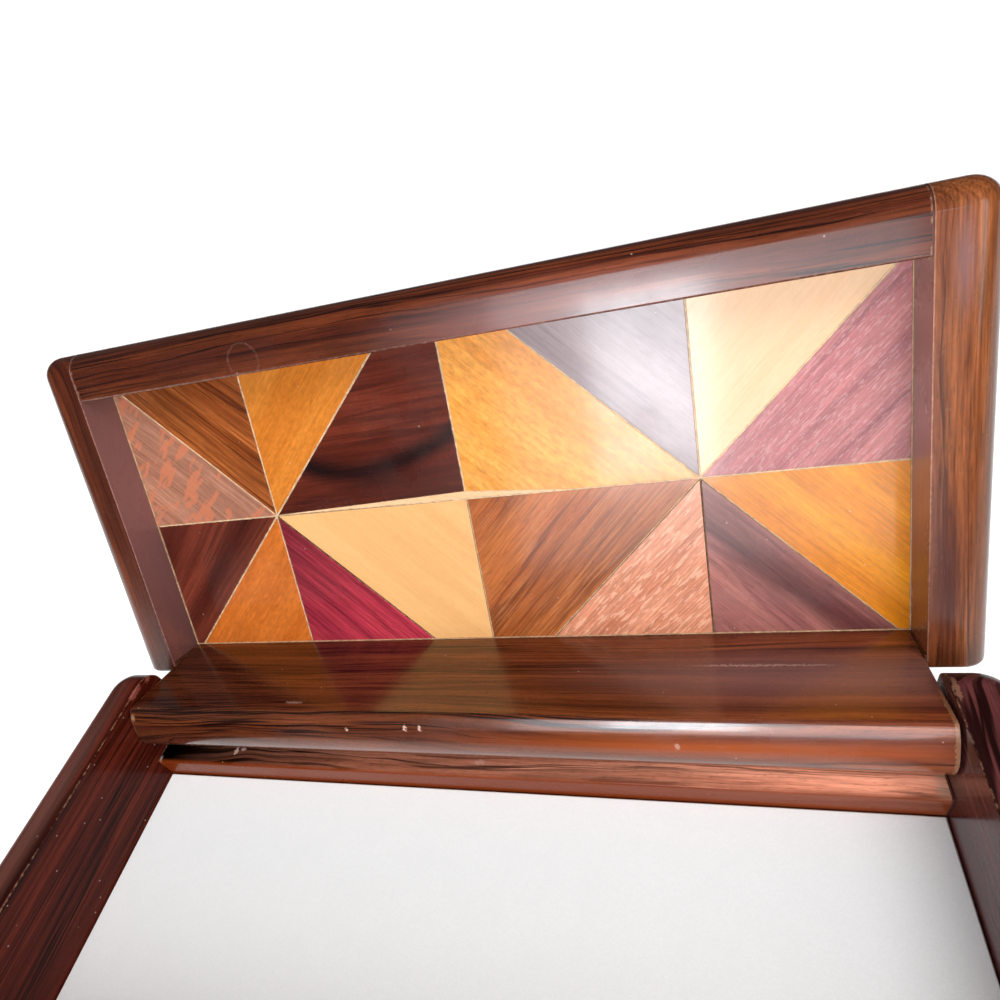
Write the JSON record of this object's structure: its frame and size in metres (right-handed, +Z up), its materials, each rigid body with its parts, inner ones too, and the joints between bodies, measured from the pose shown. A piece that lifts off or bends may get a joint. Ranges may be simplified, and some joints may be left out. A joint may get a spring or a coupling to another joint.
{
  "type": "trinket box",
  "caption": "Low wooden trinket box whose framed marquetry lid turns on hidden pins between the side walls and leans back open on its low back wall.",
  "frame": {"origin": "centre of the box's flat underside", "axes": "+Z up, +X to the right along the hinge, +Y to the back, where the hinge is; modelled with the lid open"},
  "size_m": [0.187, 0.1425, 0.0907],
  "materials": {
    "frame_wood": "glossy lacquered dark red-brown rosewood with near-black streaks",
    "walnut": "glossy lacquered walnut brown",
    "lacewood": "glossy lacquered pinkish tan with pale flecks",
    "golden_wood": "glossy lacquered golden yellow",
    "cream_wood": "glossy lacquered pale cream yellow",
    "dark_rosewood": "glossy lacquered very dark brown with black streaks",
    "grey_rosewood": "glossy lacquered greyish purple brown",
    "purpleheart": "glossy lacquered magenta red",
    "felt": "matt off-white felt",
    "steel": "plain drawn steel"
  },
  "bodies": {
    "box": {"left_wall": "frame_wood", "right_wall": "frame_wood", "front_wall": "frame_wood", "back_wall": "frame_wood", "bottom_panel": "frame_wood", "floor_lining": "felt", "left_hinge_pin": "steel", "right_hinge_pin": "steel"},
    "lid": {"lid_left_rail": "frame_wood", "lid_right_rail": "frame_wood", "lid_front_rail": "frame_wood", "hinge_rail": "frame_wood", "inlay_front_1_wedge": "walnut", "inlay_front_1_field": "lacewood", "inlay_front_2_wedge": "golden_wood", "inlay_front_2_field": "dark_rosewood", "inlay_front_3_wedge": "grey_rosewood", "inlay_front_3_field": "golden_wood", "inlay_front_4_wedge": "cream_wood", "inlay_front_4_field": "purpleheart", "inlay_back_1_wedge": "golden_wood", "inlay_back_1_field": "dark_rosewood", "inlay_back_2_wedge": "purpleheart", "inlay_back_2_field": "cream_wood", "inlay_back_3_wedge": "lacewood", "inlay_back_3_field": "walnut", "inlay_back_4_wedge": "dark_rosewood", "inlay_back_4_field": "golden_wood"}
  },
  "joints": [
    {"name": "lid_hinge", "type": "hinge", "parent": "box", "child": "lid", "pos_m": [0, 0.0395, 0.019], "axis": [1, 0, 0], "range_deg": [0, 116]}
  ]
}
